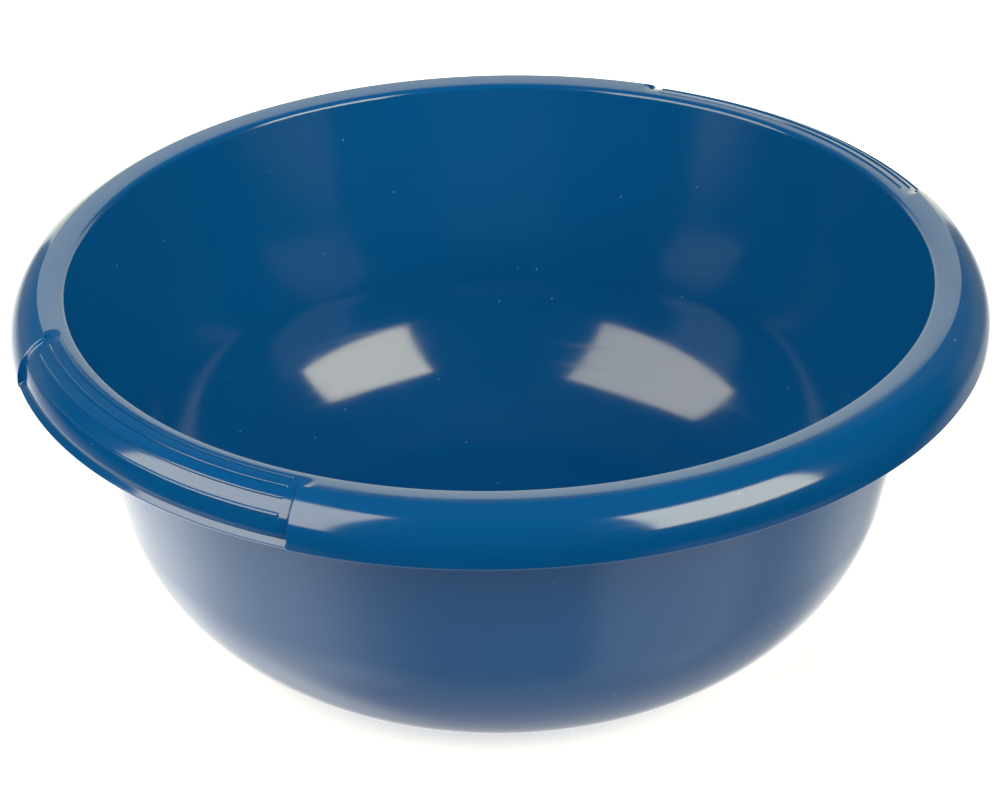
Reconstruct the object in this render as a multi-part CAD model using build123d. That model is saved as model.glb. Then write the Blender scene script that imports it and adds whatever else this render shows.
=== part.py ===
from build123d import *
import math
import os

# Round washing up bowl, moulded in one wall thickness, with a turned-down rim
# and two ribbed grips let into the rim opposite each other.
# The origin is the centre of the foot ring's resting plane, with Z up.
# X runs through the middle of both grips. Y runs through the smooth rim.

# Driving sizes of the bowl, in millimetres and degrees
rim_radius = 180.0        # outside of the rim's skirt
rim_width = 21.0          # from the edge of the mouth to the outside of the skirt
lip_height = 141.0        # edge of the mouth above the table
lip_radius = 2.0          # rounding of the edge of the mouth
wall_reach = 66.5         # from the edge of the flat base out to the edge of the mouth
wall = 2.2                # thickness of the plastic

# Flat base and its foot ring
foot_height = 1.6
foot_width = 3.0
foot_inset = 5.0          # from the base's edge to the outside of the foot ring
foot_edge = 0.5           # flat that takes the sharpness off the foot ring's edges
gate_dish_radius = 9.0    # shallow dish round the moulding gate, underneath
gate_dish_depth = 0.5
gate_stub_radius = 1.6
gate_stub_height = 0.3

# Corner and heel, the two tangent arcs between the base and the straight wall
corner_radius = 24.0
corner_turn = 27.0        # slope at which the corner hands over to the heel
heel_radius = 80.0

# Rim: a land that rises gently, a crease, a rounded shoulder and a straight skirt
land_width = 10.5         # from the edge of the mouth to the crease
land_rise = 1.5           # crease above the edge of the mouth
shoulder_entry = 20.0     # slope of the shoulder just outside the crease
skirt_drop = 4.1          # straight length of the skirt below the shoulder
skirt_edge_radius = 1.0   # outer bottom edge

# Grips: recessed lengths of the rim with raised ribs and a beaded lower edge
grip_span = 48.5
grip_recess = 2.2         # grip surface below the smooth rim's surface
bead_height = 2.7
bead_inset = 0.2          # bead inside the skirt's outline
bead_edge = 0.4           # flat that takes the sharpness off the bead's edges
rib_count = 4
first_rib_offset = 5.4    # first rib from the edge of the mouth, along the radius
last_rib_inset = 3.9      # last rib from the outside of the skirt, along the radius
rib_width = 1.5
rib_top_width = 0.7
rib_height = 0.6
rib_root = 0.5            # part of a rib that is buried in the grip
rib_end_margin = 3.0      # plain length between a rib's end and the step


def polar(centre, radius, angle):
    """Point at an angle in degrees, in the plane of radius and height."""
    turn = math.radians(angle)
    return (centre[0] + radius * math.cos(turn), centre[1] + radius * math.sin(turn))


def arc(centre, radius, start, end):
    """Round stretch of an outline between two angles."""
    middle = (start + end) / 2
    return ThreePointArc(*(polar(centre, radius, angle) for angle in (start, middle, end)))


def ring(section, start=0, sweep=360):
    """Solid that a section makes when it turns about Z, from a start angle."""
    return Rot(Z=start) * revolve(section.sketch, Axis.Z, revolution_arc=sweep)


# The base, the mouth and the skirt lie one inside another
mouth_radius = rim_radius - rim_width
base_radius = mouth_radius - wall_reach
floor_height = foot_height + wall

# Corner and heel share tangent points, so their centres follow from the radii
corner_centre = (base_radius, foot_height + corner_radius)
handover = corner_turn - 90
heel_centre = polar(corner_centre, corner_radius - heel_radius, handover)

# The straight wall touches the heel and ends at the edge of the mouth
inner_heel_radius = heel_radius - wall
mouth_reach = math.dist(heel_centre, (mouth_radius, lip_height))
mouth_slope = math.degrees(
    math.atan2(lip_height - heel_centre[1], mouth_radius - heel_centre[0])
)
wall_normal = mouth_slope - math.degrees(math.acos(inner_heel_radius / mouth_reach))
draft = math.radians(-wall_normal)

# The rim starts at the cylinder where the outside of the wall meets the land
root_radius = mouth_radius + wall / math.cos(draft)
land_slope = land_rise / land_width
root_height = lip_height + land_slope * (root_radius - mouth_radius)
crease_radius = mouth_radius + land_width
shoulder_radius = (rim_radius - crease_radius) / (1 - math.sin(math.radians(shoulder_entry)))
entry_angle = 90 - shoulder_entry
shoulder_centre = (
    rim_radius - shoulder_radius,
    lip_height + land_rise - shoulder_radius * math.cos(math.radians(shoulder_entry)),
)
skirt_height = shoulder_centre[1] - skirt_drop
under_rim_height = root_height - wall
step_web_sweep = math.degrees(wall / rim_radius)
rib_pitch = (rim_width - first_rib_offset - last_rib_inset) / (rib_count - 1)


def base_panel():
    """Flat bottom with the foot ring and the dished moulding gate."""
    foot_outer = base_radius - foot_inset
    with BuildSketch(Plane.XZ) as section:
        with Locations((0, foot_height)):
            Rectangle(base_radius, wall, align=(Align.MIN, Align.MIN))
        with Locations((foot_outer, 0)):
            Rectangle(foot_width, floor_height - wall / 2, align=(Align.MAX, Align.MIN))
        chamfer(section.vertices().group_by(Axis.Y)[0], length=foot_edge)
        with Locations((0, foot_height)):
            Rectangle(
                gate_dish_radius,
                gate_dish_depth,
                align=(Align.MIN, Align.MIN),
                mode=Mode.SUBTRACT,
            )
        with Locations((0, foot_height + gate_dish_depth)):
            Rectangle(
                gate_stub_radius,
                gate_stub_height,
                align=(Align.MIN, Align.MAX),
            )
    return ring(section)


def curved_ring(centre, radius, start, end):
    """Part of the wall whose section is an arc of one wall thickness."""
    with BuildSketch(Plane.XZ) as section:
        with BuildLine():
            arc(centre, radius, start, end)
            Line(polar(centre, radius, end), polar(centre, radius - wall, end))
            arc(centre, radius - wall, end, start)
            Line(polar(centre, radius - wall, start), polar(centre, radius, start))
        make_face()
    return ring(section)


def basin_wall():
    """Straight drafted wall, from the heel to the rounded edge of the mouth."""
    ledge_radius = root_radius - (lip_height - under_rim_height) * math.tan(draft)
    with BuildSketch(Plane.XZ) as section:
        with BuildLine():
            Polyline(
                polar(heel_centre, heel_radius, wall_normal),
                (ledge_radius, under_rim_height),
                (root_radius, under_rim_height),
                (root_radius, root_height),
                (mouth_radius, lip_height),
                polar(heel_centre, inner_heel_radius, wall_normal),
                close=True,
            )
        make_face()
        edge_of_mouth = section.vertices().sort_by_distance((mouth_radius, lip_height))[0]
        fillet(edge_of_mouth, radius=lip_radius)
    return ring(section)


def rim_section(outer_depth, inner_depth):
    """Rim between two depths below its smooth surface, from root to skirt."""
    outer = shoulder_radius - outer_depth
    inner = shoulder_radius - inner_depth
    with BuildSketch(Plane.XZ) as section:
        with BuildLine():
            Line((root_radius, root_height), polar(shoulder_centre, outer, entry_angle))
            arc(shoulder_centre, outer, entry_angle, 0)
            Polyline(
                polar(shoulder_centre, outer, 0),
                (rim_radius - outer_depth, skirt_height),
                (rim_radius - inner_depth, skirt_height),
                polar(shoulder_centre, inner, 0),
            )
            arc(shoulder_centre, inner, 0, entry_angle)
            Polyline(
                polar(shoulder_centre, inner, entry_angle),
                (root_radius, under_rim_height),
                (root_radius, root_height),
            )
        make_face()
        lowest = section.vertices().group_by(Axis.Y)[0]
        fillet(lowest.sort_by(Axis.X)[-1], radius=skirt_edge_radius)
    return section


def smooth_rim(middle_angle):
    """Plain length of rim, closed at both ends by the steps down to the grips."""
    sweep = 180 - grip_span
    start = middle_angle - sweep / 2
    end = start + sweep
    shell = ring(rim_section(0, wall), start + step_web_sweep, sweep - 2 * step_web_sweep)
    step_web = rim_section(0, grip_recess + wall)
    shell += ring(step_web, start, step_web_sweep)
    shell += ring(step_web, end, -step_web_sweep)
    return shell


def grip_surface(radius):
    """Height of the grip at a radius, and the direction that it faces."""
    crease = polar(shoulder_centre, shoulder_radius - grip_recess, entry_angle)
    if radius > crease[0]:
        reach = shoulder_radius - grip_recess
        facing = math.degrees(math.acos((radius - shoulder_centre[0]) / reach))
        return polar(shoulder_centre, reach, facing)[1], facing
    slope = (crease[1] - root_height) / (crease[0] - root_radius)
    return root_height + slope * (radius - root_radius), 90 + math.degrees(math.atan(slope))


def rib_section(radius):
    """Tapered rib that stands on the grip, square to its surface."""
    height, facing = grip_surface(radius)
    with BuildSketch(Plane.XZ) as section:
        with Locations(Location((radius, height, 0), (0, 0, facing - 90))):
            Polygon(
                (-rib_width / 2, -rib_root),
                (rib_width / 2, -rib_root),
                (rib_width / 2, 0),
                (rib_top_width / 2, rib_height),
                (-rib_top_width / 2, rib_height),
                (-rib_width / 2, 0),
                align=None,
            )
    return section


def grip(middle_angle):
    """Recessed length of rim with its ribs and its beaded lower edge."""
    start = middle_angle - grip_span / 2
    body = ring(rim_section(grip_recess, grip_recess + wall), start, grip_span)
    bead_reach = grip_recess + wall / 2 - bead_inset
    with BuildSketch(Plane.XZ) as bead:
        with Locations((rim_radius - bead_inset, skirt_height)):
            Rectangle(bead_reach, bead_height, align=(Align.MAX, Align.MIN))
        chamfer(bead.vertices().group_by(Axis.X)[-1], length=bead_edge)
    body += ring(bead, start, grip_span)
    for index in range(rib_count):
        radius = mouth_radius + first_rib_offset + index * rib_pitch
        margin = math.degrees(rib_end_margin / radius)
        body += ring(rib_section(radius), start + margin, grip_span - 2 * margin)
    return body


nodes = {
    "base_panel": base_panel(),
    "corner_ring": curved_ring(corner_centre, corner_radius, -90, handover),
    "heel_ring": curved_ring(heel_centre, heel_radius, handover, wall_normal),
    "basin_wall": basin_wall(),
    "rim_front": smooth_rim(-90),
    "rim_back": smooth_rim(90),
    "grip_left": grip(180),
    "grip_right": grip(0),
}

os.makedirs("parts", exist_ok=True)
for name, solid in nodes.items():
    export_step(solid, f"parts/{name}.step")
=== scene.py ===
import bpy
import math
from mathutils import Matrix, Vector


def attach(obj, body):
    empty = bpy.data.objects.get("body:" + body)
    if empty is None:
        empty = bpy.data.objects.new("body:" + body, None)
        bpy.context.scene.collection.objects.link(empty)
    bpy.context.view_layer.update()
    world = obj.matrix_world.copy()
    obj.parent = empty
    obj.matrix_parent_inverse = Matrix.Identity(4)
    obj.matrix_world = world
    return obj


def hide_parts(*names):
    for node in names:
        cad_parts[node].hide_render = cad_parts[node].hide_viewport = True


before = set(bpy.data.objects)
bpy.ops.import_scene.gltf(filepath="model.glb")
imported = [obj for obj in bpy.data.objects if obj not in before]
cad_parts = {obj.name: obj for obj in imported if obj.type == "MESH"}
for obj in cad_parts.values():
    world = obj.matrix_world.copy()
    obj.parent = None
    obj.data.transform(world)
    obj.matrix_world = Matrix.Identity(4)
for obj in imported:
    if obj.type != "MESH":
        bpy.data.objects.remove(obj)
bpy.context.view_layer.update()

# Round washing up bowl in glossy blue polypropylene, in metres and degrees.
# Every piece is a section turned about the bowl's axis by Geometry Nodes.
MM = 0.001

# Camera at the photograph's viewing angle
camera_place = (-0.6372, -0.6954, 0.6274)
camera_azimuth = -42.465
camera_elevation = 30.025
camera_roll = -1.2426
camera_lens = 103.62
camera_sensor = 36.0
camera_near = 0.01
camera_far = 100.0

# Sizes of the bowl, the same as in the CAD model
rim_radius = 180.0 * MM
rim_width = 21.0 * MM
lip_height = 141.0 * MM
lip_radius = 2.0 * MM
wall_reach = 66.5 * MM
wall = 2.2 * MM
foot_height = 1.6 * MM
foot_width = 3.0 * MM
foot_inset = 5.0 * MM
foot_edge = 0.5 * MM
gate_dish_radius = 9.0 * MM
gate_dish_depth = 0.5 * MM
gate_stub_radius = 1.6 * MM
gate_stub_height = 0.3 * MM
corner_radius = 24.0 * MM
corner_turn = 27.0
heel_radius = 80.0 * MM
land_width = 10.5 * MM
land_rise = 1.5 * MM
shoulder_entry = 20.0
skirt_drop = 4.1 * MM
grip_span = 48.5
grip_recess = 2.2 * MM
bead_height = 2.7 * MM
bead_inset = 0.2 * MM
rib_count = 4
first_rib_offset = 5.4 * MM
last_rib_inset = 3.9 * MM
rib_width = 1.5 * MM
rib_top_width = 0.7 * MM
rib_height = 0.6 * MM
rib_end_margin = 3.0 * MM

# Forms that are softer or finer than in the CAD model. The plain land is the
# land of the smooth rim. The grips keep the CAD model's crease and shoulder.
plain_land_width = 9.6 * MM
plain_land_rise = 0.95 * MM
land_crown = 0.2 * MM
crease_edge = 0.35 * MM
skirt_edge = 0.9 * MM
inner_skirt_edge = 0.5 * MM
step_length_at_mouth = 9.0 * MM
step_length_at_crease = 1.7 * MM
step_length_at_skirt = 1.0 * MM
web_taper = 1.2             # end of the web's slope, in web widths from the rim's end
bead_slope_rise = 0.25 * MM
bead_nose_height = 1.25 * MM
bead_foot_inset = 0.9 * MM
bead_rounding = 0.45 * MM
dish_edge = 0.2 * MM

# Fineness of the meshes: stations lie along the rim, points across a section
ring_stations = 481
rim_stations = 341
grip_stations = 301
corner_points = 29
heel_points = 61
wall_points = 16
lip_points = 15
land_points = 12
shoulder_points = 40
bend_points = 5
gate_edge_points = 4
gate_to_foot_points = 6
foot_edge_points = 5
past_foot_points = 3
grip_face_points = 5
skirt_edge_points = 8
bead_edge_points = 6
bead_nose_points = 9
weld_distance = 0.001 * MM
sharp_angle = 32.0

# Crowding of stations and points towards both ends, from 0 for even to 1
rim_crowding = 0.97
grip_crowding = 0.85
arc_crowding = 0.9
wall_crowding = 0.8
land_crowding = 0.6
shoulder_crowding = 0.5

# Look of the plastic. A cell of dust holds one speck.
refractive_index = 1.5
dark_blue = (0.001, 0.051, 0.186, 1)
light_blue = (0.001, 0.057, 0.202, 1)
dust_grey = (0.30, 0.36, 0.38, 1)
dust_cells_per_metre = 90.0
dust_core = 0.015           # full dust, as a part of a cell
dust_edge = 0.035           # end of the dust, as a part of a cell
dust_cover = 0.7
least_roughness = 0.09
most_roughness = 0.13
streak_roughness = 0.06     # added where the plastic is rubbed
streak_stretch = (5.0, 5.0, 320.0)
wave_height = 0.3 * MM

# Noises of the plastic: scale, and how many finer layers are laid over the first
clouds = (9.0, 3.0)
grain = (60.0, 4.0)
streaks = (1.0, 5.0)
waves = (14.0, 1.0)
even_range = (0.3, 0.7)     # values of a noise between which colour and grain change
rubbed_range = (0.55, 0.75)

# The studio is described from where the camera stands: azimuth 0 is beyond the
# bowl, 90 to the right of the picture, and elevation is above the horizon. The
# tints are those of the light from below and from above the horizon.
studio_turn = -42.5
sky = (0, 90, 5)            # lower edge, upper edge and softness in elevation
sky_strength = 0.02
low_tint = (1.0, 1.0, 0.95, 1)
high_tint = (1.0, 1.0, 0.70, 1)
tint_change = (-20, 5)      # elevations between which the tint changes
bench_reach = 12.0
bench_grey = (0.8, 0.8, 0.8, 1)
bench_roughness = 0.9
bench_glow = 0.5

# Bright areas of the room: strength, then the edges and softness in azimuth and
# in elevation. The areas below the horizon are the bench and its bounced light.
# An area with a negative strength is darker than what lies round it.
bright_areas = (
    (0.15, (-55, 55, 12), (10, 52, 8)),
    (0.30, (-62, 62, 8), (-25, 10, 8)),
    (1.10, (-45, 25, 12), (-36, -8, 6)),
    (0.55, (-80, 62, 20), (-46, -16, 6)),
    (0.74, (-180, 180, 0.1), (-120, -38, 6)),
    (0.95, (-125, -30, 22), (-66, -26, 8)),
    (0.40, (95, 146, 10), (-64, -30, 8)),
    (-0.15, (-200, -150, 8), (-66, -30, 6)),
    (-0.15, (150, 200, 8), (-66, -30, 6)),
)

# Lamps: aim is the way that a lamp faces, radiance is how bright it looks from
# the bowl, and in_gloss says whether the gloss of the plastic shows it
lamps = (
    dict(
        name="right softbox", azimuth=126.8, elevation=34.8, distance=2.56,
        width=1.615, height=1.682, aim=(-0.599, 0.766, -0.232),
        radiance=10.6, tint=(1.0, 0.93, 0.68), in_gloss=True,
    ),
    dict(
        name="left softbox", azimuth=-112.6, elevation=41.0, distance=1.37,
        width=1.149, height=1.077, aim=(0.704, 0.681, -0.202),
        radiance=7.2, tint=(1.0, 0.90, 0.66), in_gloss=True,
    ),
    dict(
        name="back card", azimuth=0.0, elevation=25.0, distance=0.63,
        width=0.80, height=0.44, aim=(0.0, -1.0, 0.0),
        radiance=1.5, tint=(1.0, 1.0, 0.74), in_gloss=True,
    ),
    dict(
        name="overhead fill", azimuth=0.0, elevation=90.0, distance=1.6,
        width=1.4, height=1.4, aim=(0.0, 0.01, -1.0),
        radiance=1.5, tint=(0.8, 1.0, 1.0), in_gloss=False,
    ),
    dict(
        name="bench bounce", azimuth=-155.0, elevation=-50.0, distance=1.2,
        width=1.2, height=1.2, aim=(0.27, 0.58, 0.77),
        radiance=1.7, tint=(0.5, 1.0, 0.95), in_gloss=False,
    ),
)


def polar(centre, radius, angle):
    """Point at an angle in degrees, in the plane of radius and height."""
    turn = math.radians(angle)
    return (centre[0] + radius * math.cos(turn), centre[1] + radius * math.sin(turn))


mouth_radius = rim_radius - rim_width
base_radius = mouth_radius - wall_reach
floor_height = foot_height + wall
corner_centre = (base_radius, foot_height + corner_radius)
handover = corner_turn - 90
heel_centre = polar(corner_centre, corner_radius - heel_radius, handover)
inner_heel_radius = heel_radius - wall
mouth_reach = math.dist(heel_centre, (mouth_radius, lip_height))
mouth_slope = math.degrees(
    math.atan2(lip_height - heel_centre[1], mouth_radius - heel_centre[0])
)
wall_normal = mouth_slope - math.degrees(math.acos(inner_heel_radius / mouth_reach))
draft = math.radians(-wall_normal)
root_radius = mouth_radius + wall / math.cos(draft)
land_part = (root_radius - mouth_radius) / plain_land_width
land_bulge = 4 * land_crown * land_part * (1 - land_part)
root_height = lip_height + plain_land_rise * land_part + land_bulge
root_slope = (plain_land_rise + 4 * land_crown * (1 - 2 * land_part)) / plain_land_width
crease_slope = (plain_land_rise - 4 * land_crown) / plain_land_width
entry_angle = 90 - shoulder_entry
shoulder_slope = -math.tan(math.radians(shoulder_entry))


def shoulder_arc(width, rise):
    """Centre and radius of the shoulder that starts at a crease."""
    radius = (rim_width - width) / (1 - math.sin(math.radians(shoulder_entry)))
    drop = radius * math.cos(math.radians(shoulder_entry))
    return (rim_radius - radius, lip_height + rise - drop), radius


grip_centre, grip_shoulder = shoulder_arc(land_width, land_rise)
plain_centre, plain_shoulder = shoulder_arc(plain_land_width, plain_land_rise)
crease_turn = math.degrees(crease_edge / plain_shoulder)
skirt_height = grip_centre[1] - skirt_drop
under_rim_height = root_height - wall
rib_pitch = (rim_width - first_rib_offset - last_rib_inset) / (rib_count - 1)
first_rib_radius = mouth_radius + first_rib_offset


def spread(count, crowding):
    """Fractions from 0 to 1 that lie closer together towards both ends."""
    steps = [index / (count - 1) for index in range(count)]
    return [step - crowding * math.sin(math.tau * step) / math.tau for step in steps]


def between(start, end, count, crowding=0.0):
    """Points on a straight line."""
    return [
        (start[0] + (end[0] - start[0]) * part, start[1] + (end[1] - start[1]) * part)
        for part in spread(count, crowding)
    ]


def arc(centre, radius, start, end, count, crowding=0.0):
    """Points on an arc between two angles in degrees."""
    parts = spread(count, crowding)
    return [polar(centre, radius, start + (end - start) * part) for part in parts]


def rounded(before, corner, after, radius, count):
    """Points on the arc that rounds a corner of an outline."""
    back = (Vector(before) - Vector(corner)).normalized()
    ahead = (Vector(after) - Vector(corner)).normalized()
    half = back.angle(ahead) / 2
    centre = Vector(corner) + (back + ahead).normalized() * radius / math.sin(half)
    first = Vector(corner) + back * radius / math.tan(half) - centre
    last = Vector(corner) + ahead * radius / math.tan(half) - centre
    start = math.degrees(math.atan2(first.y, first.x))
    turn = math.degrees(math.atan2(last.y, last.x)) - start
    turn = (turn + 180) % 360 - 180
    return arc(centre, radius, start, start + turn, count)


def rounded_corners(outline, radii, count):
    """Points on the arcs that round the corners between an outline's two ends."""
    points = []
    for place, radius in enumerate(radii):
        points += rounded(*outline[place:place + 3], radius, count)
    return points


def land_point(radius):
    """Point on the crowned land, from the edge of the mouth to the crease."""
    part = (radius - mouth_radius) / plain_land_width
    height = lip_height + plain_land_rise * part + 4 * land_crown * part * (1 - part)
    return (radius, height)


class Section:
    """Two facing lines of a wall, with what the turning needs at each point."""

    def __init__(self, outer, inner, lift=None, step=None, length=None, sink=None):
        count = len(outer)
        if len(inner) != count:
            raise ValueError("both lines of a section need the same number of points")
        self.outer = outer
        self.inner = inner
        self.lift = lift or [(0.0, 0.0)] * count
        self.step = step or [(0.0, 0.0)] * count
        self.length = length or [step_length_at_skirt] * count
        self.sink = sink or [(0.0, 0.0)] * count


def floor_section():
    """Flat bottom with its foot ring and the dished moulding gate underneath."""
    foot_outer = base_radius - foot_inset
    foot_inner = foot_outer - foot_width
    ceiling = foot_height + gate_dish_depth
    stub_foot = ceiling - gate_stub_height
    gate = (
        (0, stub_foot),
        (gate_stub_radius, stub_foot),
        (gate_stub_radius, ceiling),
        (gate_dish_radius, ceiling),
        (gate_dish_radius, foot_height),
        (foot_inner, foot_height),
    )
    foot = (
        (0, foot_height),
        (foot_inner, foot_height),
        (foot_inner, 0),
        (foot_outer, 0),
        (foot_outer, foot_height),
        (base_radius, foot_height),
    )
    gate_edges = (dish_edge / 2, dish_edge / 2, dish_edge, dish_edge)
    by_gate = (gate_dish_radius * 2, foot_height)
    by_foot = (foot_inner - foot_width, foot_height)
    past_foot = (base_radius - foot_width / 3, foot_height)
    under = [(0.0, stub_foot)]
    under += rounded_corners(gate, gate_edges, gate_edge_points)
    under += between(by_gate, by_foot, gate_to_foot_points)
    under += rounded_corners(foot, [foot_edge] * 4, foot_edge_points)
    under += between(past_foot, foot[-1], past_foot_points)
    top = [(point[0], floor_height) for point in under]
    return Section(under, top)


def curved_section(centre, radius, start, end, count):
    """Part of the wall whose section is an arc of one wall thickness."""
    return Section(
        arc(centre, radius, start, end, count, arc_crowding),
        arc(centre, radius - wall, start, end, count, arc_crowding),
    )


def side_section():
    """Straight drafted wall, from the heel to the rounded edge of the mouth."""
    ledge = (
        root_radius - (lip_height - under_rim_height) * math.tan(draft),
        under_rim_height,
    )
    root = (root_radius, under_rim_height)
    heel_outer = polar(heel_centre, heel_radius, wall_normal)
    heel_inner = polar(heel_centre, inner_heel_radius, wall_normal)
    mouth = land_point(mouth_radius)
    beyond = land_point(mouth_radius + lip_radius)
    lip = rounded(heel_inner, mouth, beyond, lip_radius, lip_points)
    land_start = lip[-1][0]
    land_reach = root_radius - land_start
    land_steps = 3
    inside = between(heel_inner, lip[0], wall_points, wall_crowding)[:-1] + lip
    for step in range(1, land_steps + 1):
        inside.append(land_point(land_start + land_reach * step / land_steps))
    outside = between(heel_outer, ledge, len(inside) - land_steps, wall_crowding)
    outside += between(ledge, root, land_steps + 1)[1:]
    return Section(outside, inside)


def rim_line(root, centre, radius, end_slope, land_parts, shoulder_angles):
    """Land and shoulder of the rim, with the way that each point faces.

    The land leaves the root at the root's slope and reaches the crease at its
    own end slope. Where that isn't the shoulder's slope, the crease is rounded.
    """
    crease = polar(centre, radius, entry_angle)
    reach = crease[0] - root[0]
    rise = crease[1] - root[1]
    points = []
    slopes = []
    for part in land_parts:
        start_pull = reach * root_slope * (part - 2 * part**2 + part**3)
        end_pull = reach * end_slope * (part**3 - part**2)
        height = rise * (3 * part**2 - 2 * part**3) + start_pull + end_pull
        steepness = rise * 6 * part * (1 - part) / reach
        steepness += root_slope * (1 - 4 * part + 3 * part**2)
        steepness += end_slope * (3 * part**2 - 2 * part)
        points.append((root[0] + reach * part, root[1] + height))
        slopes.append(steepness)
    faces = [Vector((-slope, 1.0)).normalized() for slope in slopes]
    if not math.isclose(end_slope, shoulder_slope):
        before = (crease[0] - 1.0, crease[1] - end_slope)
        beyond = (crease[0] + 1.0, crease[1] + shoulder_slope)
        points = points[:-1] + rounded(before, crease, beyond, crease_edge, bend_points)
        last_face = Vector(polar((0, 0), 1, entry_angle))
        turns = [step / (bend_points - 1) for step in range(bend_points)]
        faces = faces[:-1] + [faces[-1].lerp(last_face, turn) for turn in turns]
    points += [polar(centre, radius, angle) for angle in shoulder_angles]
    faces += [Vector(polar((0, 0), 1, angle)) for angle in shoulder_angles]
    return points, [tuple(face) for face in faces]


def grip_edge(last):
    """Skirt of a grip below its shoulder: a short face, then a sloped bead."""
    ledge = skirt_height + bead_height
    face = rim_radius - grip_recess
    foot = (face, ledge + bead_slope_rise)
    nose = (rim_radius - bead_inset, skirt_height + bead_nose_height)
    low = (rim_radius - bead_inset - bead_foot_inset, skirt_height)
    inside = (rim_radius - grip_recess - wall, skirt_height)
    points = between(last, foot, grip_face_points)[1:-1]
    points += rounded(last, foot, nose, bead_rounding, bead_edge_points)
    points += rounded(foot, nose, low, bead_rounding, bead_nose_points)
    points += rounded(nose, low, inside, bead_rounding, bead_edge_points)
    return points


def step_vectors(high, low):
    """Ways from each point of one line to the same point of another."""
    return [(there[0] - here[0], there[1] - here[1]) for here, there in zip(high, low)]


def skirt_rows(shoulder_end, foot, inside, edge, count):
    """Straight skirt down to its rounded bottom edge, in a number of points."""
    bottom = rounded(shoulder_end, foot, inside, edge, skirt_edge_points)
    return between(shoulder_end, bottom[0], count - skirt_edge_points + 2)[1:] + bottom[1:]


def step_lengths(land_rows, shoulder_rows, rows):
    """Length of the ramp down to the grip, shorter from the mouth to the skirt."""
    lengths = []
    for row in range(rows):
        on_land = min(1.0, row / land_rows)
        on_shoulder = min(1.0, max(0.0, (row - land_rows) / shoulder_rows))
        length = step_length_at_mouth
        length += (step_length_at_crease - step_length_at_mouth) * on_land
        length += (step_length_at_skirt - step_length_at_crease) * on_shoulder
        lengths.append(length)
    return lengths


def rim_section():
    """Smooth length of rim, from root to skirt, one wall thick."""
    parts = spread(land_points, land_crowding)
    last = entry_angle - crease_turn
    angles = [last * (1 - part) for part in spread(shoulder_points, shoulder_crowding)]
    root = (root_radius, root_height)
    under_root = (root_radius, under_rim_height)
    plain_inner = plain_shoulder - wall
    grip_outer = grip_shoulder - grip_recess
    grip_inner = grip_outer - wall

    # The step runs from the smooth lines down to the grip's lines. A land that is
    # slightly less steep than the shoulder gives those a crease with as many points.
    grip_slope = shoulder_slope * 0.95
    outer, lift = rim_line(root, plain_centre, plain_shoulder, crease_slope, parts, angles)
    inner, _ = rim_line(under_root, plain_centre, plain_inner, crease_slope, parts, angles)
    shallow, _ = rim_line(root, grip_centre, grip_outer, grip_slope, parts, angles)
    deep, _ = rim_line(under_root, grip_centre, grip_inner, grip_slope, parts, angles)
    land_rows = len(outer) - shoulder_points
    bead = grip_edge(shallow[-1])
    count = len(bead)
    foot = (rim_radius, skirt_height)
    inner_foot = (rim_radius - wall, skirt_height)
    deep_foot = (rim_radius - grip_recess - wall, skirt_height)
    shallow += bead
    outer += skirt_rows(outer[-1], foot, inner_foot, skirt_edge, count)
    inner += skirt_rows(inner[-1], inner_foot, foot, inner_skirt_edge, count)
    deep += skirt_rows(deep[-1], deep_foot, foot, inner_skirt_edge, count)
    lift += [lift[-1]] * count
    lengths = step_lengths(land_rows, shoulder_points, len(outer))
    return Section(
        outer, inner, lift, step_vectors(outer, shallow), lengths, step_vectors(inner, deep)
    )


def grip_section():
    """Recessed length of rim, with points set close together at the ribs."""
    radius = grip_shoulder - grip_recess
    crease = polar(grip_centre, radius, entry_angle)
    land_reach = crease[0] - root_radius
    last = entry_angle - crease_turn

    # Points across each rib, in rib widths from its middle
    half_steps = (0.12, 0.25, 0.32, 0.39, 0.46, 0.53, 0.6, 0.8, 1.0)
    steps = [-step for step in half_steps] + [0.0] + list(half_steps)

    # Points on the land as parts of its width, and on the shoulder as angles. A
    # rib's points stay a little away from the crease and the end of the shoulder.
    parts = {0.0, 0.08, 0.15, 0.9, 1.0}
    angles = {last, 4.0, 2.0, 0.0}
    last_part = 0.97
    first_angle = last - 0.3
    last_angle = 5.0
    for rib in range(rib_count):
        middle = first_rib_radius + rib * rib_pitch
        for step in steps:
            if middle + rib_width < crease[0]:
                place = (middle + step * rib_width - root_radius) / land_reach
                if 0.0 < place < last_part:
                    parts.add(place)
            else:
                facing = math.degrees(math.acos((middle - grip_centre[0]) / radius))
                angle = facing - math.degrees(step * rib_width / radius)
                if last_angle < angle < first_angle:
                    angles.add(angle)
                elif angle >= last:
                    place = 1.0 - math.radians(angle - last) * radius / land_reach
                    if 0.0 < place < last_part:
                        parts.add(place)
    parts = sorted(parts)
    angles = sorted(angles, reverse=True)
    root = (root_radius, root_height)
    under_root = (root_radius, under_rim_height)
    outer, lift = rim_line(root, grip_centre, radius, shoulder_slope, parts, angles)
    inner, _ = rim_line(under_root, grip_centre, radius - wall, shoulder_slope, parts, angles)
    tail = grip_edge(outer[-1])
    outer += tail
    lift += [(0.0, 0.0)] * len(tail)
    inner_foot = (rim_radius - grip_recess - wall, skirt_height)
    inner_edge = rounded(inner[-1], inner_foot, outer[-1], inner_skirt_edge, bend_points)
    straight = len(tail) - bend_points + 2
    inner += between(inner[-1], inner_edge[0], straight)[1:] + inner_edge[1:]
    return Section(outer, inner, lift)


def node(tree, kind, inputs=None, **settings):
    """New node with its settings, and with inputs that are linked or set."""
    made = tree.nodes.new(kind)
    for name, value in settings.items():
        setattr(made, name, value)
    for key, value in (inputs or {}).items():
        if isinstance(value, bpy.types.NodeSocket):
            tree.links.new(value, made.inputs[key])
        else:
            made.inputs[key].default_value = value
    return made


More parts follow.
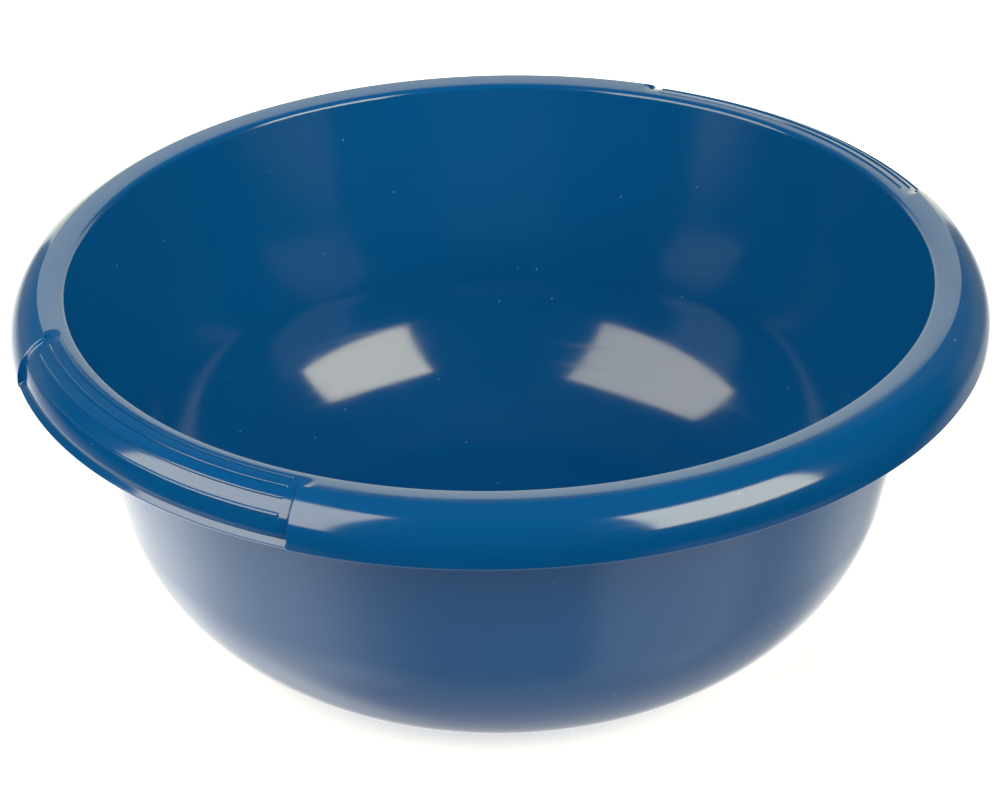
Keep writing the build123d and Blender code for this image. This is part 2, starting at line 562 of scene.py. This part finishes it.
def calc(tree, operation, first, second=0.0, third=0.0):
    """Result of one step of arithmetic."""
    inputs = {0: first, 1: second, 2: third}
    return node(tree, "ShaderNodeMath", inputs, operation=operation).outputs[0]


def scaled(tree, vector, factor):
    """Vector times a number."""
    inputs = {0: vector, "Scale": factor}
    return node(tree, "ShaderNodeVectorMath", inputs, operation="SCALE").outputs[0]


def summed(tree, first, second):
    """Sum of two vectors."""
    inputs = {0: first, 1: second}
    return node(tree, "ShaderNodeVectorMath", inputs, operation="ADD").outputs[0]


def eased(tree, value, low, high, start, end):
    """Smooth passage from a start to an end while a value goes from low to high."""
    inputs = {0: value, 1: low, 2: high, 3: start, 4: end}
    return node(tree, "ShaderNodeMapRange", inputs, interpolation_type="SMOOTHSTEP").outputs[0]


def blend(tree, factor, first, second):
    """Colour between two colours, each of them a link or a plain colour."""
    inputs = {0: factor, 6: first, 7: second}
    return node(tree, "ShaderNodeMix", inputs, data_type="RGBA").outputs[2]


def noise(tree, place, scale, detail):
    """Strength of a noise at a place."""
    inputs = {"Vector": place, "Scale": scale, "Detail": detail}
    return node(tree, "ShaderNodeTexNoise", inputs).outputs["Fac"]


turning_sizes = (
    ("Section Points", "NodeSocketInt"),
    ("Stations", "NodeSocketInt"),
    ("Start", "NodeSocketFloat"),
    ("Sweep", "NodeSocketFloat"),
    ("Crowding", "NodeSocketFloat"),
    ("Closed Ring", "NodeSocketBool"),
    ("On Axis", "NodeSocketBool"),
    ("Web Width", "NodeSocketFloat"),
    ("Web Depth", "NodeSocketFloat"),
    ("First Rib", "NodeSocketFloat"),
    ("Rib Pitch", "NodeSocketFloat"),
    ("Rib Count", "NodeSocketInt"),
    ("Rib Width", "NodeSocketFloat"),
    ("Rib Top Width", "NodeSocketFloat"),
    ("Rib Height", "NodeSocketFloat"),
    ("Rib Margin", "NodeSocketFloat"),
    ("Plastic", "NodeSocketMaterial"),
)


def turning_tree():
    """Geometry Nodes that turn a two-sided section about the bowl's axis."""
    tree = bpy.data.node_groups.new("turned section", "GeometryNodeTree")
    tree.interface.new_socket("Section", in_out="INPUT", socket_type="NodeSocketGeometry")
    for name, kind in turning_sizes:
        tree.interface.new_socket(name, in_out="INPUT", socket_type=kind)
    tree.interface.new_socket("Piece", in_out="OUTPUT", socket_type="NodeSocketGeometry")
    sizes = node(tree, "NodeGroupInput").outputs

    def store(geometry, name, value):
        """Geometry that keeps a number at each of its points."""
        inputs = {"Geometry": geometry, "Name": name, "Value": value}
        made = node(
            tree, "GeometryNodeStoreNamedAttribute", inputs, data_type="FLOAT", domain="POINT"
        )
        return made.outputs[0]

    def read(name, kind="FLOAT"):
        """Named attribute of the points at hand."""
        made = node(tree, "GeometryNodeInputNamedAttribute", {"Name": name}, data_type=kind)
        return made.outputs["Attribute"]

    def sample(name, kind="FLOAT_VECTOR"):
        """Attribute of the section's point in the same row."""
        inputs = {"Geometry": sizes["Section"], "Value": read(name, kind), "Index": read("row")}
        made = node(tree, "GeometryNodeSampleIndex", inputs, data_type=kind, domain="POINT")
        return made.outputs[0]

    def compare(operation, first, second):
        """Whether one number is greater or less than another."""
        inputs = {0: first, 1: second}
        made = node(tree, "FunctionNodeCompare", inputs, data_type="FLOAT", operation=operation)
        return made.outputs[0]

    def logic(operation, first, second):
        """Result of one step of logic."""
        inputs = {0: first, 1: second}
        return node(tree, "FunctionNodeBooleanMath", inputs, operation=operation).outputs[0]

    # Grid of section points by stations
    counts = {"Vertices X": sizes["Section Points"], "Vertices Y": sizes["Stations"]}
    grid = node(tree, "GeometryNodeMeshGrid", counts).outputs[0]
    index = node(tree, "GeometryNodeInputIndex").outputs[0]
    row = calc(tree, "FLOOR", calc(tree, "DIVIDE", index, sizes["Stations"]))
    station = calc(tree, "SUBTRACT", index, calc(tree, "MULTIPLY", row, sizes["Stations"]))
    numbered = store(store(grid, "row", row), "station", station)

    # Slab of two grids that face each other, closed along all its sides
    flat = {"Mesh": numbered, "Offset Scale": 0.0, "Individual": False}
    extrude = node(tree, "GeometryNodeExtrudeMesh", flat, mode="FACES").outputs
    flip = node(tree, "GeometryNodeFlipFaces", {"Mesh": numbered}).outputs[0]
    slab = node(tree, "GeometryNodeJoinGeometry")
    tree.links.new(store(extrude["Mesh"], "inside", extrude["Top"]), slab.inputs[0])
    tree.links.new(store(flip, "inside", 0.0), slab.inputs[0])

    # Angle of each station, and the distance along the rim to the nearer end
    last = calc(tree, "SUBTRACT", sizes["Stations"], 1.0)
    step = calc(tree, "DIVIDE", read("station"), last)
    wave = calc(tree, "SINE", calc(tree, "MULTIPLY", step, math.tau))
    crowd = calc(tree, "MULTIPLY", calc(tree, "DIVIDE", sizes["Crowding"], math.tau), wave)
    part = calc(tree, "SUBTRACT", step, crowd)
    angle = calc(tree, "MULTIPLY_ADD", part, sizes["Sweep"], sizes["Start"])
    outer = sample("outer")
    radius = node(tree, "ShaderNodeSeparateXYZ", {0: outer}).outputs["X"]
    nearer = calc(tree, "MINIMUM", part, calc(tree, "SUBTRACT", 1.0, part))
    distance = calc(tree, "MULTIPLY", calc(tree, "MULTIPLY", nearer, sizes["Sweep"]), radius)

    # Ribs: even in radius, square to the surface, with rounded ends
    outward = calc(tree, "SUBTRACT", radius, sizes["First Rib"])
    steps = calc(tree, "DIVIDE", outward, sizes["Rib Pitch"])
    nearest = calc(tree, "ROUND", steps)
    nearest = calc(tree, "MAXIMUM", nearest, 0.0)
    nearest = calc(tree, "MINIMUM", nearest, calc(tree, "SUBTRACT", sizes["Rib Count"], 1.0))
    beside = calc(tree, "MULTIPLY", calc(tree, "SUBTRACT", steps, nearest), sizes["Rib Pitch"])
    beside = calc(tree, "MULTIPLY", beside, sample("stretch", "FLOAT"))
    half = calc(tree, "MULTIPLY", sizes["Rib Width"], 0.5)
    top_half = calc(tree, "MULTIPLY", sizes["Rib Top Width"], 0.5)
    beyond = calc(tree, "SUBTRACT", calc(tree, "ADD", sizes["Rib Margin"], half), distance)
    beyond = calc(tree, "MAXIMUM", beyond, 0.0)
    across = calc(tree, "MULTIPLY", beside, beside)
    along = calc(tree, "MULTIPLY", beyond, beyond)
    away = calc(tree, "SQRT", calc(tree, "ADD", across, along))
    rib = eased(tree, away, top_half, half, sizes["Rib Height"], 0.0)

    # Outer surface: ribs rise, and the end of a smooth length steps down to the grip
    ramp = eased(tree, distance, 0.0, sample("length", "FLOAT"), 1.0, 0.0)
    risen = summed(tree, outer, scaled(tree, sample("lift"), rib))
    shown = summed(tree, risen, scaled(tree, sample("step"), ramp))

    # Inner surface: it sinks at the ends, where the step's web closes the rim
    web_end = calc(tree, "MULTIPLY", sizes["Web Width"], web_taper)
    web = eased(tree, distance, sizes["Web Width"], web_end, sizes["Web Depth"], 0.0)
    hidden = summed(tree, sample("inner"), scaled(tree, sample("sink"), web))

    # Each grid takes its own surface, and every point turns to its station
    surface = {
        "Switch": compare("GREATER_THAN", read("inside"), 0.5),
        "False": shown,
        "True": hidden,
    }
    chosen = node(tree, "GeometryNodeSwitch", surface, input_type="VECTOR").outputs[0]
    way = {"Vector": chosen, "Angle": angle}
    turned = node(tree, "ShaderNodeVectorRotate", way, rotation_type="Z_AXIS").outputs[0]
    place = {"Geometry": slab.outputs[0], "Position": turned}
    placed = node(tree, "GeometryNodeSetPosition", place).outputs[0]

    # A whole ring has no end faces, and a section on the axis no bore. The faces
    # there have a mean station or row of 0, and the faces beside them one of 0.5.
    to_last = calc(tree, "SUBTRACT", last, read("station"))
    first_end = compare("LESS_THAN", read("station"), 0.25)
    last_end = compare("LESS_THAN", to_last, 0.25)
    seam = logic("AND", logic("OR", first_end, last_end), sizes["Closed Ring"])
    bore = logic("AND", compare("LESS_THAN", read("row"), 0.25), sizes["On Axis"])
    unwanted = {"Geometry": placed, "Selection": logic("OR", seam, bore)}
    cut = node(
        tree, "GeometryNodeDeleteGeometry", unwanted, domain="FACE", mode="ONLY_FACE"
    ).outputs[0]
    close = {"Geometry": cut, "Distance": weld_distance}
    welded = node(tree, "GeometryNodeMergeByDistance", close).outputs[0]
    real = node(tree, "GeometryNodeRealizeInstances", {0: welded}).outputs[0]
    coat = {"Geometry": real, "Material": sizes["Plastic"]}
    coated = node(tree, "GeometryNodeSetMaterial", coat).outputs[0]
    node(tree, "NodeGroupOutput", {0: coated})
    return tree


def section_mesh(name, section):
    """Mesh of a section's points, with what the turning needs at each."""
    mesh = bpy.data.meshes.new(name)
    mesh.from_pydata([(x, 0.0, z) for x, z in section.outer], [], [])
    columns = {
        "outer": section.outer,
        "inner": section.inner,
        "lift": section.lift,
        "step": section.step,
        "sink": section.sink,
    }
    for key, values in columns.items():
        column = mesh.attributes.new(key, "FLOAT_VECTOR", "POINT")
        flat = [number for x, z in values for number in (x, 0.0, z)]
        column.data.foreach_set("vector", flat)
    length = mesh.attributes.new("length", "FLOAT", "POINT")
    length.data.foreach_set("value", section.length)

    # Way along the surface for each step in radius, limited on the upright skirt
    least_upward = 0.2
    upward = [max(least_upward, face[1]) for face in section.lift]
    stretch = mesh.attributes.new("stretch", "FLOAT", "POINT")
    stretch.data.foreach_set("value", [1 / value for value in upward])
    return mesh


def signed_volume(mesh):
    """Volume inside a closed mesh, negative if it is inside out."""
    mesh.calc_loop_triangles()
    total = 0.0
    for triangle in mesh.loop_triangles:
        a, b, c = (mesh.vertices[index].co for index in triangle.vertices)
        total += a.dot(b.cross(c)) / 6
    return total


def turned_piece(tree, name, section, plastic, stations, **sizes):
    """Piece of the bowl, made a plain mesh once its nodes have run.

    The sizes are inputs of the tree, with underscores for the spaces in a name.
    """
    piece = bpy.data.objects.new(name, section_mesh(name, section))
    bpy.context.scene.collection.objects.link(piece)
    turning = piece.modifiers.new("turning", "NODES")
    turning.node_group = tree
    values = {
        "Section Points": len(section.outer),
        "Stations": stations,
        "Start": 0.0,
        "Sweep": math.tau,
        "Crowding": 0.0,
        "Closed Ring": False,
        "On Axis": False,
        "Web Width": wall,
        "Web Depth": 0.0,
        "First Rib": first_rib_radius,
        "Rib Pitch": rib_pitch,
        "Rib Count": rib_count,
        "Rib Width": rib_width,
        "Rib Top Width": rib_top_width,
        "Rib Height": 0.0,
        "Rib Margin": rib_end_margin,
        "Plastic": plastic,
    }
    values.update({key.replace("_", " "): value for key, value in sizes.items()})
    for item in tree.interface.items_tree:
        if item.in_out == "INPUT" and item.name in values:
            turning[item.identifier] = values[item.name]
    graph = bpy.context.evaluated_depsgraph_get()
    mesh = bpy.data.meshes.new_from_object(piece.evaluated_get(graph), depsgraph=graph)
    piece.modifiers.clear()
    piece.data = mesh
    mesh.name = name
    for key in ("row", "station", "inside"):
        mesh.attributes.remove(mesh.attributes[key])
    if signed_volume(mesh) < 0:
        mesh.flip_normals()
    mesh.shade_smooth()
    mesh.set_sharp_from_angle(angle=math.radians(sharp_angle))
    return piece


def blue_polypropylene():
    """Glossy blue plastic, faintly uneven, with specks of dust and rubbed streaks."""
    material = bpy.data.materials.new("blue polypropylene")
    material.use_nodes = True
    tree = material.node_tree
    shader = tree.nodes["Principled BSDF"]
    shader.inputs["IOR"].default_value = refractive_index
    place = node(tree, "ShaderNodeTexCoord").outputs["Object"]
    low, high = even_range

    # Colour: two close blues, with a speck of dust where a cell's centre touches
    # the surface
    tint = node(tree, "ShaderNodeValToRGB", {0: noise(tree, place, *clouds)})
    blues = tint.color_ramp.elements
    blues[0].position = low
    blues[0].color = dark_blue
    blues[1].position = high
    blues[1].color = light_blue
    dust = node(tree, "ShaderNodeTexVoronoi", {"Vector": place, "Scale": dust_cells_per_metre})
    speck = eased(tree, dust.outputs["Distance"], dust_core, dust_edge, dust_cover, 0.0)
    colour = blend(tree, speck, tint.outputs[0], dust_grey)
    tree.links.new(colour, shader.inputs["Base Color"])

    # Roughness: a fine grain, and rubbed streaks that run round the bowl
    evenness = {
        0: noise(tree, place, *grain),
        1: low,
        2: high,
        3: least_roughness,
        4: most_roughness,
    }
    gloss = node(tree, "ShaderNodeMapRange", evenness).outputs[0]
    stretched = node(tree, "ShaderNodeMapping", {"Vector": place, "Scale": streak_stretch})
    streak = noise(tree, stretched.outputs[0], *streaks)
    rubbed = eased(tree, streak, *rubbed_range, 0.0, streak_roughness)
    tree.links.new(calc(tree, "ADD", gloss, rubbed), shader.inputs["Roughness"])

    # Slight waves of the moulded surface
    swell = {"Strength": 1.0, "Distance": wave_height, "Height": noise(tree, place, *waves)}
    bump = node(tree, "ShaderNodeBump", swell).outputs[0]
    tree.links.new(bump, shader.inputs["Normal"])
    return material


def make_camera():
    """Camera at the photograph's viewing angle."""
    lens = bpy.data.cameras.new("camera")
    lens.lens = camera_lens
    lens.sensor_width = camera_sensor
    lens.clip_start = camera_near
    lens.clip_end = camera_far
    camera = bpy.data.objects.new("camera", lens)
    bpy.context.scene.collection.objects.link(camera)
    turn = Matrix.Rotation(math.radians(camera_azimuth), 4, "Z")
    tilt = Matrix.Rotation(math.radians(90 - camera_elevation), 4, "X")
    roll = Matrix.Rotation(math.radians(camera_roll), 4, "Z")
    camera.matrix_world = Matrix.Translation(camera_place) @ turn @ tilt @ roll
    bpy.context.scene.camera = camera


def soft_light(
    name, azimuth, elevation, distance, width, height, aim, radiance, tint, in_gloss
):
    """Rectangular light, with its place and aim in the studio's directions."""
    lamp = bpy.data.lights.new(name, "AREA")
    lamp.shape = "RECTANGLE"
    lamp.size = width
    lamp.size_y = height
    lamp.energy = radiance * math.pi * width * height
    lamp.color = tint
    box = bpy.data.objects.new(name, lamp)
    bpy.context.scene.collection.objects.link(box)
    studio = Matrix.Rotation(math.radians(studio_turn), 3, "Z")
    bearing = math.radians(azimuth)
    lift = math.radians(elevation)
    place = distance * Vector(
        (math.sin(bearing) * math.cos(lift), math.cos(bearing) * math.cos(lift), math.sin(lift))
    )
    facing = Vector(aim).to_track_quat("-Z", "Y").to_matrix().to_4x4()
    turn = studio.to_4x4() @ facing
    box.matrix_world = Matrix.Translation(studio @ place) @ turn
    box.visible_camera = False
    box.visible_glossy = in_gloss


def band(tree, value, low, high, soft):
    """One between two limits and zero outside them, with soft edges."""
    above = eased(tree, value, low - soft, low + soft, 0.0, 1.0)
    below = eased(tree, value, high - soft, high + soft, 1.0, 0.0)
    return calc(tree, "MULTIPLY", above, below)


def make_room():
    """Dim room with bright areas that the bowl reflects, white for the camera."""
    world = bpy.data.worlds.new("studio")
    bpy.context.scene.world = world
    world.use_nodes = True
    tree = world.node_tree
    tree.nodes.clear()
    way = node(tree, "ShaderNodeTexCoord").outputs["Generated"]
    inputs = {"Vector": way, "Angle": math.radians(-studio_turn)}
    turned = node(tree, "ShaderNodeVectorRotate", inputs, rotation_type="Z_AXIS").outputs[0]
    x, y, z = node(tree, "ShaderNodeSeparateXYZ", {0: turned}).outputs
    azimuth = calc(tree, "MULTIPLY", calc(tree, "ARCTAN2", x, y), math.degrees(1))
    elevation = calc(tree, "MULTIPLY", calc(tree, "ARCSINE", z), math.degrees(1))
    light = calc(tree, "MULTIPLY", band(tree, elevation, *sky), sky_strength)
    for strength, around, above in bright_areas:
        across = band(tree, azimuth, *around)
        upward = band(tree, elevation, *above)
        area = calc(tree, "MULTIPLY", calc(tree, "MULTIPLY", across, upward), strength)
        light = calc(tree, "ADD", light, area)
    light = calc(tree, "MAXIMUM", light, 0.0)
    seen = node(tree, "ShaderNodeLightPath").outputs["Is Camera Ray"]
    level = node(tree, "ShaderNodeMix", {0: seen, 2: light, 3: 1.0}, data_type="FLOAT")
    tint = blend(tree, eased(tree, elevation, *tint_change, 0.0, 1.0), low_tint, high_tint)
    colour = blend(tree, seen, tint, (1, 1, 1, 1))
    inputs = {"Color": colour, "Strength": level.outputs[0]}
    glow = node(tree, "ShaderNodeBackground", inputs).outputs[0]
    node(tree, "ShaderNodeOutputWorld", {0: glow})


def make_bench():
    """Plain pale bench top under the bowl."""
    mesh = bpy.data.meshes.new("bench")
    signs = ((-1, -1), (1, -1), (1, 1), (-1, 1))
    corners = [(x * bench_reach, y * bench_reach, 0) for x, y in signs]
    mesh.from_pydata(corners, [], [(0, 1, 2, 3)])
    bench = bpy.data.objects.new("bench", mesh)
    bpy.context.scene.collection.objects.link(bench)
    paint = bpy.data.materials.new("pale bench top")
    paint.use_nodes = True
    shader = paint.node_tree.nodes["Principled BSDF"]
    shader.inputs["Base Color"].default_value = bench_grey
    shader.inputs["Roughness"].default_value = bench_roughness
    shader.inputs["Specular IOR Level"].default_value = 0.0
    shader.inputs["Emission Color"].default_value = (1, 1, 1, 1)
    shader.inputs["Emission Strength"].default_value = bench_glow
    mesh.materials.append(paint)
    bench.visible_glossy = False
    bench.visible_diffuse = False
    bench.visible_shadow = False


def stand_in(piece, stands_for):
    """The piece takes the place of a CAD solid, as part of the one body."""
    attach(piece, "root")
    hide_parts(stands_for)


make_camera()
bpy.context.scene.view_settings.view_transform = "Standard"

plastic = blue_polypropylene()
tree = turning_tree()
corner_arc = curved_section(corner_centre, corner_radius, -90, handover, corner_points)
heel_arc = curved_section(heel_centre, heel_radius, handover, wall_normal, heel_points)
rings = (
    ("basin_floor", "base_panel", floor_section(), True),
    ("basin_corner", "corner_ring", corner_arc, False),
    ("basin_heel", "heel_ring", heel_arc, False),
    ("basin_side", "basin_wall", side_section(), False),
)
for name, stands_for, section, on_axis in rings:
    piece = turned_piece(
        tree, name, section, plastic, ring_stations, Closed_Ring=True, On_Axis=on_axis
    )
    stand_in(piece, stands_for)

rim_sweep = 180 - grip_span
for name, stands_for, middle in (("front_rim", "rim_front", -90), ("back_rim", "rim_back", 90)):
    piece = turned_piece(
        tree,
        name,
        rim_section(),
        plastic,
        rim_stations,
        Start=math.radians(middle - rim_sweep / 2),
        Sweep=math.radians(rim_sweep),
        Crowding=rim_crowding,
        Web_Depth=1.0,
    )
    stand_in(piece, stands_for)

for name, stands_for, middle in (("left_grip", "grip_left", 180), ("right_grip", "grip_right", 0)):
    piece = turned_piece(
        tree,
        name,
        grip_section(),
        plastic,
        grip_stations,
        Start=math.radians(middle - grip_span / 2),
        Sweep=math.radians(grip_span),
        Crowding=grip_crowding,
        Rib_Height=rib_height,
    )
    stand_in(piece, stands_for)

make_room()
for lamp in lamps:
    soft_light(**lamp)
make_bench()
